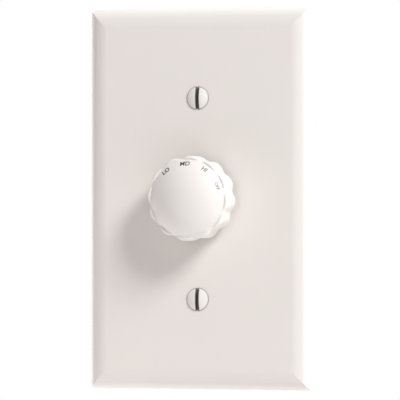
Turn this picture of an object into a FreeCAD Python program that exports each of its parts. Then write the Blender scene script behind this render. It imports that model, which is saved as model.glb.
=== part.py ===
import FreeCAD, Part

import math
import os
import re

import Sketcher

# A rotary fan speed control on a single-gang wall plate. It is drawn with X to the right, Y up and Z out of
# the wall, from the point where the shaft's axis meets the wall, and then stood up so that it faces -Y.
# Lengths are in millimetres and angles in degrees.
SIZES = {
    # Wall plate, a standard single-gang size
    "plate_width": 69.85,
    "plate_height": 114.3,
    "plate_depth": 6.0,
    "plate_wall": 2.2,
    "plate_rim": 2.0,
    "plate_corner": 1.1,
    "crown_round": 8.5,
    "crown_tilt": 22.0,
    "edge_round": 4.6,
    "edge_tilt": 62.0,
    "hollow_draft": 8.0,
    "hollow_corner": 1.0,
    "hole_clearance": 0.67,
    "hole_collar": 1.6,
    "boss_radius": 4.6,
    "boss_gap": 0.2,
    "plate_rib_x": 24.0,
    "plate_rib_length": 84.0,
    "plate_rib_width": 1.2,
    "plate_rib_height": 1.2,
    # Plate screws, oval heads in countersunk seats, one past each end of the housing
    "screw_past_housing": 2.4125,
    "screw_thread": 3.5,
    "screw_length": 12.7,
    "screw_point": 0.6,
    "screw_head": 6.9,
    "screw_head_angle": 82.0,
    "screw_head_edge": 0.2,
    "screw_head_rise": 1.0,
    "screw_slot": 1.1,
    "screw_slot_depth": 1.5,
    "screw_clearance": 0.25,
    "seat_clearance": 0.05,
    # Mounting strap, with slots for the screws that go into the wall box
    "strap_margin": 4.75,
    "strap_thickness": 1.5,
    "strap_set": 1.0,
    "strap_neck": 19.0,
    "strap_ear_width": 33.0,
    "strap_ear_gap": 1.0,
    "strap_round": 2.0,
    "tapped_fit": 0.05,
    "box_spacing": 83.34,
    "box_thread": 3.5,
    "box_neck": 3.2,
    "box_screw_length": 25.4,
    "box_head": 7.2,
    "box_head_gap": 0.5,
    "box_head_round": 0.6,
    "box_slot_width": 4.0,
    "box_slot_length": 8.4,
    "retainer_thickness": 0.4,
    "retainer_radius": 4.6,
    "retainer_fit": 0.05,
    "thread_start": 0.05,
    # Ground tab and its screw
    "ground_tab_width": 8.0,
    "ground_tab_drop": 9.5,
    "ground_tab_gap": 1.0,
    "ground_height": 5.2,
    "ground_thread": 4.1,
    "ground_flange": 9.0,
    "ground_flange_thickness": 0.8,
    "ground_hex": 6.4,
    "ground_hex_height": 2.2,
    "ground_length": 7.5,
    # Bushing, its nut and lock washer
    "bushing_thread": 9.525,
    "bushing_fit": 0.1,
    "bushing_past_nut": 1.8,
    "bushing_chamfer": 0.5,
    "flange_radius": 6.6,
    "flange_thickness": 1.2,
    "nut_across_flats": 12.7,
    "nut_thickness": 2.4,
    "nut_chamfer_angle": 30.0,
    "nut_fit": 0.04,
    "washer_tooth": 0.85,
    "washer_ring": 1.9,
    "washer_thickness": 0.7,
    "washer_teeth": 10,
    "washer_tooth_width": 1.4,
    # Shaft and the clip that keeps it in the bushing
    "shaft_diameter": 6.35,
    "shaft_fit": 0.025,
    "shaft_flat_depth": 0.825,
    "shaft_chamfer": 0.5,
    "journal_shoulder": 0.575,
    "journal_flat_depth": 0.7,
    "journal_fit": 0.05,
    "shaft_head_lip": 0.7,
    "shaft_head_thickness": 0.7,
    "clip_groove_depth": 0.675,
    "clip_reach": 1.725,
    "clip_thickness": 0.6,
    "clip_fit": 0.05,
    "clip_mouth": 4.2,
    "end_play": 0.15,
    # Knob
    "knob_gap": 2.4,
    "knob_radius": 11.9,
    "lobe_height": 0.75,
    "lobe_count": 12,
    "lobe_fullness": 0.35,
    "lobe_turn_height": 0.29,
    "lobe_phase": -5.3,
    "lobe_depth": 7.6,
    "lobe_edge": 0.7,
    "dome_set": 0.4,
    "dome_sink": 1.3,
    "dome_rise": 5.2,
    "crease_width": 0.6,
    "knob_wall": 1.8,
    "hub_radius": 5.0,
    "hub_recess": 0.5,
    "bore_depth": 8.5,
    "bore_fit": 0.05,
    "tip_gap": 0.5,
    "knob_rib_width": 1.2,
    "knob_rib_gap": 0.4,
    "knob_rib_count": 4,
    "knob_spring_wire": 1.0,
    "knob_spring_fit": 0.03,
    "knob_spring_sweep": 320.0,
    # Housing and what closes it
    "housing_width": 43.0,
    "housing_height": 52.0,
    "housing_wall": 2.0,
    "housing_corner": 2.5,
    "housing_shelf": 1.0,
    "insulator_thickness": 0.5,
    "insulator_set": 1.5,
    "rivet_set": 4.5,
    "rivet_shank": 3.0,
    "rivet_head": 5.2,
    "rivet_head_height": 0.8,
    "rivet_head_round": 0.6,
    "rivet_fit": 0.1,
    "post_radius": 3.2,
    "notch_width": 15.0,
    "notch_depth": 7.0,
    "notch_shoulder": 2.4,
    # Detent: index plate, leaf spring and wheel
    "detent_step": 36.0,
    "index_thickness": 1.0,
    "index_height": 34.0,
    "index_fit": 0.4,
    "prong_gap": 1.3,
    "prong_thickness": 2.1,
    "prong_width": 2.0,
    "stop_gap": 0.2,
    "spring_seat_gap": 3.4,
    "spring_tab_thickness": 1.0,
    "spring_tab_from": 8.0,
    "spring_tab_to": 12.0,
    "spring_strip": 0.4,
    "spring_width": 2.0,
    "spring_nose_half": 2.8,
    "spring_nose_gap": 0.3,
    "spring_nose_depth": 0.6,
    "spring_hook": 0.6,
    "spring_hook_gap": 0.2,
    "wheel_radius": 10.0,
    "wheel_thickness": 3.0,
    "notch_round": 1.6,
    "notch_out": 0.6,
    "lug_reach": 3.0,
    "lug_width": 3.2,
    # Switch contacts
    "rotor_radius": 12.0,
    "rotor_thickness": 2.5,
    "wiper_thickness": 0.4,
    "wiper_width": 3.0,
    "wiper_ring_outer": 6.4,
    "wiper_ring_inner": 3.9,
    "wiper_track": 9.0,
    "wiper_toe": 1.0,
    "contact_gap": 0.15,
    "stud_radius": 1.5,
    "stud_height": 0.6,
    "stud_shank": 0.9,
    "stud_tail": 0.6,
    "common_outer": 9.8,
    "common_inner": 8.2,
    "common_sweep": 150.0,
    # Circuit board and its components
    "board_space": 3.6,
    "board_thickness": 1.6,
    "board_fit": 0.3,
    "component_space": 14.4,
    "lead_fit": 0.1,
    "capacitor_length": 28.0,
    "capacitor_depth": 12.5,
    "capacitor_round": 0.8,
    "capacitor_gap": 1.1,
    "capacitor_boss_gap": 0.6,
    "capacitor_lead": 0.8,
    "capacitor_pitch": 22.5,
    "lead_past_board": 0.5,
    "resistor_length": 8.0,
    "resistor_radius": 1.4,
    "resistor_waist": 1.15,
    "resistor_cap": 1.6,
    "resistor_across": 8.0,
    "resistor_standoff": 0.6,
    "resistor_lead": 0.6,
    "resistor_pitch": 12.0,
    "board_screw_set": 2.0,
    "board_screw_thread": 2.5,
    "board_screw_head": 4.8,
    "board_screw_head_height": 1.5,
    "board_screw_slot": 0.7,
    "board_screw_slot_depth": 0.8,
    "board_screw_length": 8.0,
    "board_boss_radius": 2.6,
    # Screw terminals
    "terminal_thickness": 1.0,
    "terminal_width": 10.0,
    "terminal_tail": 4.0,
    "terminal_fit": 0.1,
    "terminal_set": 1.5,
    "terminal_thread": 3.5,
    "terminal_head": 6.8,
    "terminal_head_height": 2.0,
    "terminal_screw_length": 4.0,
    "terminal_slot": 1.1,
    "terminal_slot_depth": 1.0,
}

# Places that follow from the sizes. Heights are measured out of the wall, so those inside it are negative.
PLACES = {
    "plate_x": "plate_width / 2",
    "plate_y": "plate_height / 2",
    "face_inside": "plate_depth - plate_wall",
    "face_middle": "plate_depth - plate_wall / 2",
    "knob_hole": "nut_across_flats / 2 / cos(30) + hole_clearance",
    "crown_run": "crown_round * sin(crown_tilt)",
    "crown_drop": "crown_round * (1 - cos(crown_tilt))",
    "edge_run": "edge_round * (sin(edge_tilt) - sin(crown_tilt))",
    "edge_drop": "edge_round * (cos(crown_tilt) - cos(edge_tilt))",
    "plate_lip": "plate_depth - crown_drop - edge_drop",
    "screw_y": "housing_y + screw_past_housing + screw_thread / 2",
    "screw_taper": "tan(screw_head_angle / 2)",
    "screw_cone": "(screw_head - screw_thread) / 2 / screw_taper",
    "screw_tip": "plate_depth - screw_length",
    "strap_y": "plate_y - strap_margin",
    "strap_ear_y": "ground_tab_y + ground_tab_width + strap_ear_gap",
    "box_y": "box_spacing / 2",
    "box_head_front": "face_inside - box_head_gap",
    "box_tip": "strap_thickness - box_screw_length",
    "box_thread_top": "-retainer_thickness - thread_start",
    "ground_tab_y": "housing_y + ground_tab_gap",
    "ground_y": "-ground_tab_y - ground_tab_width / 2",
    "ground_x": "-strap_neck / 2",
    "bushing_radius": "bushing_thread / 2",
    "washer_inner": "bushing_radius + bushing_fit + washer_tooth",
    "washer_front": "strap_thickness + washer_thickness",
    "nut_front": "washer_front + nut_thickness",
    "bushing_front": "nut_front + bushing_past_nut",
    "shaft_radius": "shaft_diameter / 2",
    "shaft_flat": "shaft_radius - shaft_flat_depth",
    "journal_radius": "shaft_radius - journal_shoulder",
    "journal_flat": "journal_radius - journal_flat_depth",
    "shaft_head": "journal_radius + shaft_head_lip",
    "clip_groove": "shaft_radius - clip_groove_depth",
    "clip_radius": "shaft_radius + clip_reach",
    "clip_rear": "bushing_front + end_play",
    "clip_front": "clip_rear + clip_thickness",
    "knob_rear": "plate_depth + knob_gap",
    "hub_rear": "knob_rear + hub_recess",
    "bore_end": "hub_rear + bore_depth",
    "shaft_tip": "bore_end - tip_gap",
    "lobe_front": "knob_rear + lobe_depth",
    "lobe_pitch": "360 / lobe_count",
    "lobe_crest": "knob_radius + lobe_height",
    "lobe_turn": "knob_radius + lobe_height * lobe_turn_height",
    "lobe_turn_x": "lobe_turn * cos(lobe_pitch * lobe_fullness)",
    "lobe_turn_y": "lobe_turn * sin(lobe_pitch * lobe_fullness)",
    "lobe_drop": "lobe_crest - lobe_turn_x",
    "lobe_round": "(lobe_drop ^ 2 + lobe_turn_y ^ 2) / (2 * lobe_drop)",
    "lobe_centre": "lobe_crest - lobe_round",
    "lobe_lean": "(lobe_turn_x - lobe_centre) / lobe_turn_y",
    "valley_sin": "sin(lobe_pitch / 2)",
    "valley_cos": "cos(lobe_pitch / 2)",
    "valley_centre": "lobe_centre / (valley_cos - valley_sin * lobe_lean)",
    "valley_reach": "valley_centre * valley_sin * sqrt(1 + lobe_lean ^ 2)",
    "valley_round": "valley_reach - lobe_round",
    "valley_radius": "valley_centre - valley_round",
    "dome_radius": "knob_radius - dome_set",
    "dome_edge": "lobe_front - dome_sink",
    "knob_front": "dome_edge + dome_rise",
    "dome_round": "(dome_radius ^ 2 + dome_rise ^ 2) / (2 * dome_rise)",
    "dome_centre": "knob_front - dome_round",
    "dome_inside": "dome_round - knob_wall",
    "skirt_inside": "dome_radius - knob_wall",
    "rib_rear": "hub_rear + 1.5 * knob_spring_wire + knob_rib_gap",
    "skirt_ceiling": "dome_centre + sqrt(dome_inside ^ 2 - skirt_inside ^ 2)",
    "hub_ceiling": "dome_centre + sqrt(dome_inside ^ 2 - hub_radius ^ 2)",
    "housing_front": "-insulator_thickness",
    "index_rear": "housing_front - index_thickness",
    "flange_rear": "index_rear - flange_thickness",
    "wheel_front": "flange_rear - end_play",
    "wheel_rear": "wheel_front - wheel_thickness",
    "wheel_middle": "wheel_front - wheel_thickness / 2",
    "rotor_rear": "wheel_rear - rotor_thickness",
    "shaft_rear": "rotor_rear - shaft_head_thickness",
    "board_front": "rotor_rear - board_space",
    "board_rear": "board_front - board_thickness",
    "stud_front": "board_front + stud_height",
    "housing_floor": "board_rear - component_space",
    "housing_back": "housing_floor - housing_wall",
    "housing_x": "housing_width / 2",
    "housing_y": "housing_height / 2",
    "cavity_x": "housing_x - housing_wall",
    "cavity_y": "housing_y - housing_wall",
    "shelf_x": "cavity_x - housing_shelf",
    "shelf_y": "cavity_y - housing_shelf",
    "notch_floor": "housing_x - notch_depth",
    "inset_x": "notch_floor - housing_wall",
    "inset_y": "notch_width / 2 + housing_wall",
    "notch_top": "board_rear - notch_shoulder",
    "rivet_x": "housing_x - rivet_set",
    "rivet_y": "housing_y - rivet_set",
    "notch_centre": "wheel_radius + notch_out",
    "lug_radius": "wheel_radius + lug_reach",
    "prong_inner": "wheel_radius + prong_gap",
    "prong_outer": "prong_inner + prong_thickness",
    "stop_angle": "(lug_width / 2 + prong_width / 2 + stop_gap) / prong_inner * 180 / pi",
    "low_stop": "180 - detent_step - stop_angle",
    "off_stop": "180 + 2 * detent_step + stop_angle",
    "spring_seat": "wheel_radius + spring_seat_gap",
    "spring_inside": "spring_seat - spring_strip",
    "spring_tip": "notch_centre - notch_round + spring_nose_gap",
    "spring_end": "spring_tab_to + spring_hook_gap",
    "wiper_rear": "rotor_rear - wiper_thickness",
    "wiper_tip": "stud_front + contact_gap",
    "capacitor_inner": "inset_y + capacitor_gap",
    "capacitor_outer": "board_screw_y - board_boss_radius - capacitor_boss_gap",
    "capacitor_width": "capacitor_outer - capacitor_inner",
    "capacitor_y": "(capacitor_inner + capacitor_outer) / 2",
    "resistor_y": "resistor_across / 2",
    "resistor_height": "board_rear - resistor_standoff - resistor_radius",
    "board_screw_y": "shelf_y - board_screw_set",
    "terminal_outside": "notch_floor + terminal_thickness",
    "terminal_height": "(housing_back + notch_top) / 2",
}

LEFT = 1
RIGHT = -1
FULL_TURN = 360.0
HEX_TURN = 60
SETTINGS = (-1, 0, 1, 2)
SAME_HEIGHT = 1e-4
WALL = FreeCAD.Placement(FreeCAD.Vector(0, 0, 0), FreeCAD.Rotation(FreeCAD.Vector(1, 0, 0), 90))

doc = FreeCAD.newDocument("FanSpeedControl")
sheet = doc.addObject("Spreadsheet::Sheet", "Sizes")
for row, (alias, size) in enumerate(SIZES.items(), start=1):
    sheet.set(f"A{row}", alias)
    sheet.set(f"B{row}", str(size))
    sheet.setAlias(f"B{row}", alias)
doc.recompute()


def bound(text):
    """An expression as the document reads it: places are written out and sizes point to their cells."""

    def written_out(match):
        word = match.group(0)
        if word in PLACES:
            return f"({bound(PLACES[word])})"
        return f"Sizes.{word}" if word in SIZES else word

    return re.sub(r"[a-z][a-z_]*", written_out, text)


def number(text):
    return float(sheet.evalExpression(bound(text)))


def tie(thing, path, text):
    thing.setExpression(path, bound(text))


def new_body(label):
    body = doc.addObject("PartDesign::Body", label)
    body.Label = label
    body.AllowCompound = True
    body.Placement = WALL
    return body


def datum(body, role):
    return next(item for item in body.Origin.OriginFeatures if item.Role == role)


def sketch_on(body, name, plane, **offsets):
    """A sketch on one of the body's own planes, moved along the sketch's own axes."""
    sketch = body.newObject("Sketcher::SketchObject", name)
    sketch.AttachmentSupport = [(datum(body, plane), "")]
    sketch.MapMode = "FlatFace"
    for axis, text in offsets.items():
        tie(sketch, f"AttachmentOffset.Base.{axis}", text)
    doc.recompute()
    return sketch


def constrain(sketch, text, kind, *where):
    index = sketch.addConstraint(Sketcher.Constraint(kind, *where, number(text)))
    tie(sketch, f"Constraints[{index}]", text)


def place_point(sketch, geometry, end, x, y):
    constrain(sketch, x, "DistanceX", -1, 1, geometry, end)
    constrain(sketch, y, "DistanceY", -1, 1, geometry, end)


def short_arc(start, end, radius, turn):
    """The arc of under half a circle from start to end that turns left or right on its way."""
    chord = end - start
    across = FreeCAD.Vector(-chord.y, chord.x, 0).normalize()
    centre = (start + end) / 2 + across * turn * math.sqrt(radius**2 - (chord.Length / 2) ** 2)
    first, last = (start, end) if turn == LEFT else (end, start)
    from_angle, to_angle = (math.atan2((p - centre).y, (p - centre).x) for p in (first, last))
    circle = Part.Circle(centre, FreeCAD.Vector(0, 0, 1), radius)
    return Part.ArcOfCircle(circle, from_angle, to_angle)


def draw_loop(sketch, corners):
    """A closed loop. Each corner is (x, y), or (x, y, turn, radius) where an arc leads on to the next one."""
    points = [FreeCAD.Vector(number(x), number(y), 0) for x, y, *_ in corners]
    pieces = []
    for index, (_, _, *arc) in enumerate(corners):
        start, end = points[index], points[(index + 1) % len(points)]
        if arc:
            turn, radius = arc
            geometry = sketch.addGeometry(short_arc(start, end, number(radius), turn))
            pieces.append((geometry, 1, 2) if turn == LEFT else (geometry, 2, 1))
            constrain(sketch, radius, "Radius", geometry)
        else:
            pieces.append((sketch.addGeometry(Part.LineSegment(start, end)), 1, 2))
    for index, (geometry, first, last) in enumerate(pieces):
        following, following_first, _ = pieces[(index + 1) % len(pieces)]
        sketch.addConstraint(Sketcher.Constraint("Coincident", geometry, last, following, following_first))
        place_point(sketch, geometry, first, corners[index][0], corners[index][1])


def draw_circle(sketch, x, y, radius):
    centre = FreeCAD.Vector(number(x), number(y), 0)
    geometry = sketch.addGeometry(Part.Circle(centre, FreeCAD.Vector(0, 0, 1), number(radius)))
    constrain(sketch, radius, "Radius", geometry)
    place_point(sketch, geometry, 3, x, y)


def draw_box(sketch, left, right, low, high):
    draw_loop(sketch, [(left, low), (right, low), (right, high), (left, high)])


def draw_rounded_box(sketch, half_x, half_y, round_off):
    x, y, r = f"({half_x})", f"({half_y})", f"({round_off})"
    draw_loop(sketch, [
        (f"-{x} + {r}", f"-{y}"),
        (f"{x} - {r}", f"-{y}", LEFT, r),
        (x, f"-{y} + {r}"),
        (x, f"{y} - {r}", LEFT, r),
        (f"{x} - {r}", y),
        (f"-{x} + {r}", y, LEFT, r),
        (f"-{x}", f"{y} - {r}"),
        (f"-{x}", f"-{y} + {r}", LEFT, r),
    ])


def draw_radial_box(sketch, angle, inner, outer, width):
    """A rectangle that points away from the axis at an angle."""
    half = f"({width}) / 2"
    draw_loop(sketch, [
        (
            f"({reach}) * cos({angle}) - {side} * {half} * sin({angle})",
            f"({reach}) * sin({angle}) + {side} * {half} * cos({angle})",
        )
        for reach, side in ((inner, -1), (outer, -1), (outer, 1), (inner, 1))
    ])


def draw_hexagon(sketch, across_flats):
    reach = f"({across_flats}) / 2 / cos({HEX_TURN / 2})"
    turns = [HEX_TURN * corner for corner in range(6)]
    draw_loop(sketch, [(f"{reach} * cos({turn})", f"{reach} * sin({turn})") for turn in turns])


def draw_flatted_bore(sketch, radius, flat):
    """A round bore with a flat on its +X side."""
    half = f"sqrt(({radius}) ^ 2 - ({flat}) ^ 2)"
    draw_loop(sketch, [
        (flat, f"-{half}"),
        (flat, half, LEFT, radius),
        (f"-({radius})", "0", LEFT, radius),
    ])


def volume(body):
    return body.Shape.Volume


def feature(body, kind, name, sketch):
    made = body.newObject(f"PartDesign::{kind}", name)
    made.Profile = sketch
    sketch.Visibility = False
    return made


def pad(body, name, sketch, length):
    made = feature(body, "Pad", name, sketch)
    tie(made, "Length", length)
    doc.recompute()
    return made


def pocket(body, name, sketch, depth, taper=None):
    """A cut from the sketch's plane against its normal, which widens on its way if it has a taper."""
    before = volume(body)
    made = feature(body, "Pocket", name, sketch)
    tie(made, "Length", depth)
    if taper:
        tie(made, "TaperAngle", taper)
    doc.recompute()
    assert volume(body) < before, f"{name} cuts nothing"
    return made


def revolve(body, name, sketch, axis="V_Axis", sweep=None):
    made = feature(body, "Revolution", name, sketch)
    made.ReferenceAxis = (sketch, [axis])
    made.Angle = FULL_TURN
    if sweep:
        tie(made, "Angle", sweep)
    doc.recompute()
    return made


def groove(body, name, sketch):
    before = volume(body)
    made = feature(body, "Groove", name, sketch)
    made.ReferenceAxis = (sketch, ["V_Axis"])
    made.Angle = FULL_TURN
    doc.recompute()
    assert volume(body) < before, f"{name} cuts nothing"
    return made


def round_edges(body, name, chosen, radius):
    """A fillet on the edges of the body so far for which chosen(edge) is true."""
    base = body.Tip
    edges = [f"Edge{index}" for index, edge in enumerate(base.Shape.Edges, start=1) if chosen(edge)]
    made = body.newObject("PartDesign::Fillet", name)
    made.Base = (base, edges)
    tie(made, "Radius", radius)
    doc.recompute()
    return made


def at_height(height):
    """Picks the edges that lie at one height, seen in the body's own frame."""
    level = number(height)

    def lies_there(edge):
        box = edge.BoundBox
        return max(abs(box.ZMin - level), abs(box.ZMax - level)) < SAME_HEIGHT

    return lies_there


def upright(edge):
    return edge.BoundBox.ZLength > max(edge.BoundBox.XLength, edge.BoundBox.YLength)


def mirror(body, name, features, plane):
    made = body.newObject("PartDesign::Mirrored", name)
    made.Originals = features
    made.MirrorPlane = (datum(body, plane), [""])
    body.Tip = made
    doc.recompute()
    return made


def repeat_round(body, name, features, count):
    made = body.newObject("PartDesign::PolarPattern", name)
    made.Originals = features
    made.Axis = (datum(body, "Z_Axis"), [""])
    made.Angle = FULL_TURN
    tie(made, "Occurrences", count)
    body.Tip = made
    doc.recompute()
    return made


def turned(body, name, corners, axis="V_Axis", sweep=None, **offsets):
    """A turned form: its half section, beside the axis of a sketch that faces the wall's edge."""
    sketch = sketch_on(body, f"{name}Section", "XZ_Plane", **offsets)
    draw_loop(sketch, corners)
    return revolve(body, name, sketch, axis, sweep)


def four(x, y):
    return [(f"{across} * ({x})", f"{up} * ({y})") for across in (1, -1) for up in (1, -1)]


def cut_bevel(body, name, plane, edge, end):
    """The cut along one whole edge of the plate: it curves up from the lip and flattens out into the face."""
    section = sketch_on(body, f"{name}Section", plane, z=f"{end} + plate_lip")
    outside, above = f"{edge} + plate_lip", "plate_depth + plate_lip"
    face_edge = f"{edge} - edge_run - crown_run"
    draw_loop(section, [
        (edge, "plate_lip", LEFT, "edge_round"),
        (f"{edge} - edge_run", "plate_depth - crown_drop", LEFT, "crown_round"),
        (face_edge, "plate_depth"),
        (face_edge, above),
        (outside, above),
        (outside, "plate_lip"),
    ])
    return pocket(body, name, section, f"2 * ({end} + plate_lip)")


def wall_plate():
    """The moulded cover: a lip, a rounded bevel that flattens out into the face, and a ribbed hollow behind."""
    body = new_body("wall_plate")
    outline = sketch_on(body, "Outline", "XY_Plane")
    draw_rounded_box(outline, "plate_x", "plate_y", "plate_corner")
    pad(body, "Slab", outline, "plate_depth")
    side_cut = cut_bevel(body, "SideBevel", "XZ_Plane", "plate_x", "plate_y")
    mirror(body, "SideBevels", [side_cut], "YZ_Plane")
    end_cut = cut_bevel(body, "EndBevel", "YZ_Plane", "plate_y", "plate_x")
    mirror(body, "EndBevels", [end_cut], "XZ_Plane")
    inside = sketch_on(body, "HollowEnd", "XY_Plane", z="face_inside")
    inset = "(plate_rim + face_inside * tan(hollow_draft))"
    draw_rounded_box(inside, f"plate_x - {inset}", f"plate_y - {inset}", "hollow_corner")
    pocket(body, "Hollow", inside, "face_inside", taper="hollow_draft")

    bosses = sketch_on(body, "BossOutlines", "XY_Plane", z="strap_thickness + boss_gap")
    draw_circle(bosses, "0", "screw_y", "boss_radius")
    draw_circle(bosses, "0", "-screw_y", "boss_radius")
    pad(body, "ScrewBosses", bosses, "face_middle - strap_thickness - boss_gap")
    ribs = sketch_on(body, "RibOutlines", "XY_Plane", z="face_inside - plate_rib_height")
    for side in ("", "-"):
        x = f"{side}plate_rib_x"
        draw_box(ribs, f"{x} - plate_rib_width / 2", f"{x} + plate_rib_width / 2",
                 "-plate_rib_length / 2", "plate_rib_length / 2")
    draw_circle(ribs, "0", "0", "knob_hole + hole_collar")
    pad(body, "RibsAndCollar", ribs, "plate_rib_height + plate_wall / 2")
    hole = sketch_on(body, "KnobHoleOutline", "XY_Plane", z="plate_depth")
    draw_circle(hole, "0", "0", "knob_hole")
    pocket(body, "KnobHole", hole, "plate_depth")

    seat = sketch_on(body, "SeatSection", "XZ_Plane", z="-screw_y")
    shank = "screw_thread / 2 + screw_clearance"
    rim = "screw_head / 2 + seat_clearance"
    draw_loop(seat, [
        ("0", "0"),
        (shank, "0"),
        (shank, f"plate_depth - (({rim}) - ({shank})) / screw_taper"),
        (rim, "plate_depth"),
        (rim, "plate_depth + screw_head_rise"),
        ("0", "plate_depth + screw_head_rise"),
    ])
    cut = groove(body, "ScrewSeat", seat)
    mirror(body, "ScrewSeats", [cut], "XZ_Plane")
    return body


def plate_screws():
    """Two oval-head machine screws with upright slots."""
    body = new_body("plate_screws")
    shank, head = "screw_thread / 2", "screw_head / 2"
    edge = "plate_depth + screw_head_edge"
    rise = "(screw_head_rise - screw_head_edge)"
    screw = turned(body, "Screw", [
        ("0", "screw_tip"),
        (f"{shank} - screw_point", "screw_tip"),
        (shank, "screw_tip + screw_point"),
        (shank, "plate_depth - screw_cone"),
        (head, "plate_depth"),
        (head, edge, LEFT, f"(({head}) ^ 2 + {rise} ^ 2) / (2 * {rise})"),
        ("0", "plate_depth + screw_head_rise"),
    ], z="-screw_y")
    slot = sketch_on(body, "SlotOutline", "XY_Plane", z="plate_depth + screw_head_rise")
    draw_box(slot, "-screw_slot / 2", "screw_slot / 2", "screw_y - screw_head", "screw_y + screw_head")
    cut = pocket(body, "Slot", slot, "screw_slot_depth")
    mirror(body, "Pair", [screw, cut], "XZ_Plane")
    return body


def mounting_strap():
    """The sheet steel yoke, with ears for the wall box and a ground tab bent back from its lower neck."""
    body = new_body("mounting_strap")
    outline = sketch_on(body, "Outline", "XY_Plane")
    core_x, core_y = "(housing_x - strap_set)", "(housing_y - strap_set)"
    neck_x, ear_x = "strap_neck / 2", "strap_ear_width / 2"
    right = [(core_x, core_y), (neck_x, core_y), (neck_x, "strap_ear_y"), (ear_x, "strap_ear_y"),
             (ear_x, "strap_y")]
    upper = right + [(f"-{x}", y) for x, y in reversed(right)]
    draw_loop(outline, upper + [(f"-{x}", f"-{y}") for x, y in upper])
    pad(body, "Sheet", outline, "strap_thickness")
    round_edges(body, "SheetCorners", upright, "strap_round")
    tab = sketch_on(body, "TabOutline", "XY_Plane", z="-ground_tab_drop")
    draw_box(tab, "ground_x", "ground_x + strap_thickness",
             "-ground_tab_y - ground_tab_width", "-ground_tab_y")
    pad(body, "GroundTab", tab, "ground_tab_drop + strap_thickness")

    holes = sketch_on(body, "HoleOutlines", "XY_Plane", z="strap_thickness")
    draw_circle(holes, "0", "0", "bushing_radius + bushing_fit")
    for side in ("", "-"):
        draw_circle(holes, "0", f"{side}screw_y", "screw_thread / 2 + tapped_fit")
        half, end = "box_slot_width / 2", "(box_slot_length - box_slot_width) / 2"
        low, high = f"{side}box_y - {half}", f"{side}box_y + {half}"
        draw_loop(holes, [
            (f"-{end}", low),
            (end, low, LEFT, half),
            (f"{end} + {half}", f"{side}box_y", LEFT, half),
            (end, high),
            (f"-{end}", high, LEFT, half),
            (f"-{end} - {half}", f"{side}box_y", LEFT, half),
        ])
    for x, y in four("rivet_x", "rivet_y"):
        draw_circle(holes, x, y, "rivet_shank / 2 + rivet_fit")
    pocket(body, "Holes", holes, "strap_thickness")
    ground = sketch_on(body, "GroundHoleOutline", "YZ_Plane")
    draw_circle(ground, "ground_y", "-ground_height", "ground_thread / 2 + tapped_fit")
    pocket(body, "GroundHole", ground, "strap_neck")
    return body


def box_screws():
    """The two screws that hold the strap to the wall box, waisted where their retainers grip them."""
    body = new_body("box_screws")
    screw = turned(body, "Screw", [
        ("0", "box_tip"),
        ("box_thread / 2 - screw_point", "box_tip"),
        ("box_thread / 2", "box_tip + screw_point"),
        ("box_thread / 2", "box_thread_top"),
        ("box_neck / 2", "box_thread_top"),
        ("box_neck / 2", "strap_thickness"),
        ("box_head / 2", "strap_thickness"),
        ("box_head / 2", "box_head_front - box_head_round", LEFT, "box_head_round"),
        ("box_head / 2 - box_head_round", "box_head_front"),
        ("0", "box_head_front"),
    ], z="-box_y")
    slot = sketch_on(body, "SlotOutline", "XY_Plane", z="box_head_front")
    draw_box(slot, "-box_head", "box_head", "box_y - screw_slot / 2", "box_y + screw_slot / 2")
    cut = pocket(body, "Slot", slot, "(box_head_front - strap_thickness) / 2")
    mirror(body, "Pair", [screw, cut], "XZ_Plane")
    return body


def screw_retainers():
    """Thin fibre washers that keep the box screws in the strap."""
    body = new_body("screw_retainers")
    outline = sketch_on(body, "Outline", "XY_Plane", z="-retainer_thickness")
    for y in ("box_y", "-box_y"):
        draw_circle(outline, "0", y, "retainer_radius")
        draw_circle(outline, "0", y, "box_neck / 2 + retainer_fit")
    pad(body, "Washers", outline, "retainer_thickness")
    return body


def ground_screw():
    """A hexagon washer-head screw through the ground tab, driven from the left."""
    body = new_body("ground_screw")
    place = {"y": "-ground_height", "z": "-ground_y"}
    turned(body, "Shank", [
        ("ground_x - ground_flange_thickness", "0"),
        ("ground_x + ground_length", "0"),
        ("ground_x + ground_length", "ground_thread / 2 - screw_point"),
        ("ground_x + ground_length - screw_point", "ground_thread / 2"),
        ("ground_x", "ground_thread / 2"),
        ("ground_x", "ground_flange / 2"),
        ("ground_x - ground_flange_thickness", "ground_flange / 2"),
    ], axis="H_Axis", **place)
    head_end = "ground_x - ground_flange_thickness - ground_hex_height"
    hexagon = sketch_on(body, "HexOutline", "YZ_Plane", x="ground_y", y="-ground_height", z=head_end)
    draw_hexagon(hexagon, "ground_hex")
    pad(body, "HexHead", hexagon, "ground_hex_height + ground_flange_thickness / 2")
    slot = sketch_on(body, "SlotOutline", "XZ_Plane", y="-ground_height", z="-ground_y - ground_hex")
    draw_box(slot, f"{head_end} - screw_slot", f"{head_end} + screw_slot",
             "-screw_slot / 2", "screw_slot / 2")
    before = volume(body)
    cut = feature(body, "Pocket", "Slot", slot)
    cut.Reversed = True
    tie(cut, "Length", "2 * ground_hex")
    doc.recompute()
    assert volume(body) < before, "the ground screw has no slot"
    return body


def insulator_sheet():
    """A fibre sheet between the strap and the housing."""
    body = new_body("insulator_sheet")
    outline = sketch_on(body, "Outline", "XY_Plane", z="housing_front")
    draw_rounded_box(outline, "housing_x - insulator_set", "housing_y - insulator_set", "housing_corner")
    draw_circle(outline, "0", "0", "bushing_radius + bushing_fit")
    for x, y in four("rivet_x", "rivet_y"):
        draw_circle(outline, x, y, "rivet_shank / 2 + rivet_fit")
    pad(body, "Sheet", outline, "insulator_thickness")
    return body


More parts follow.
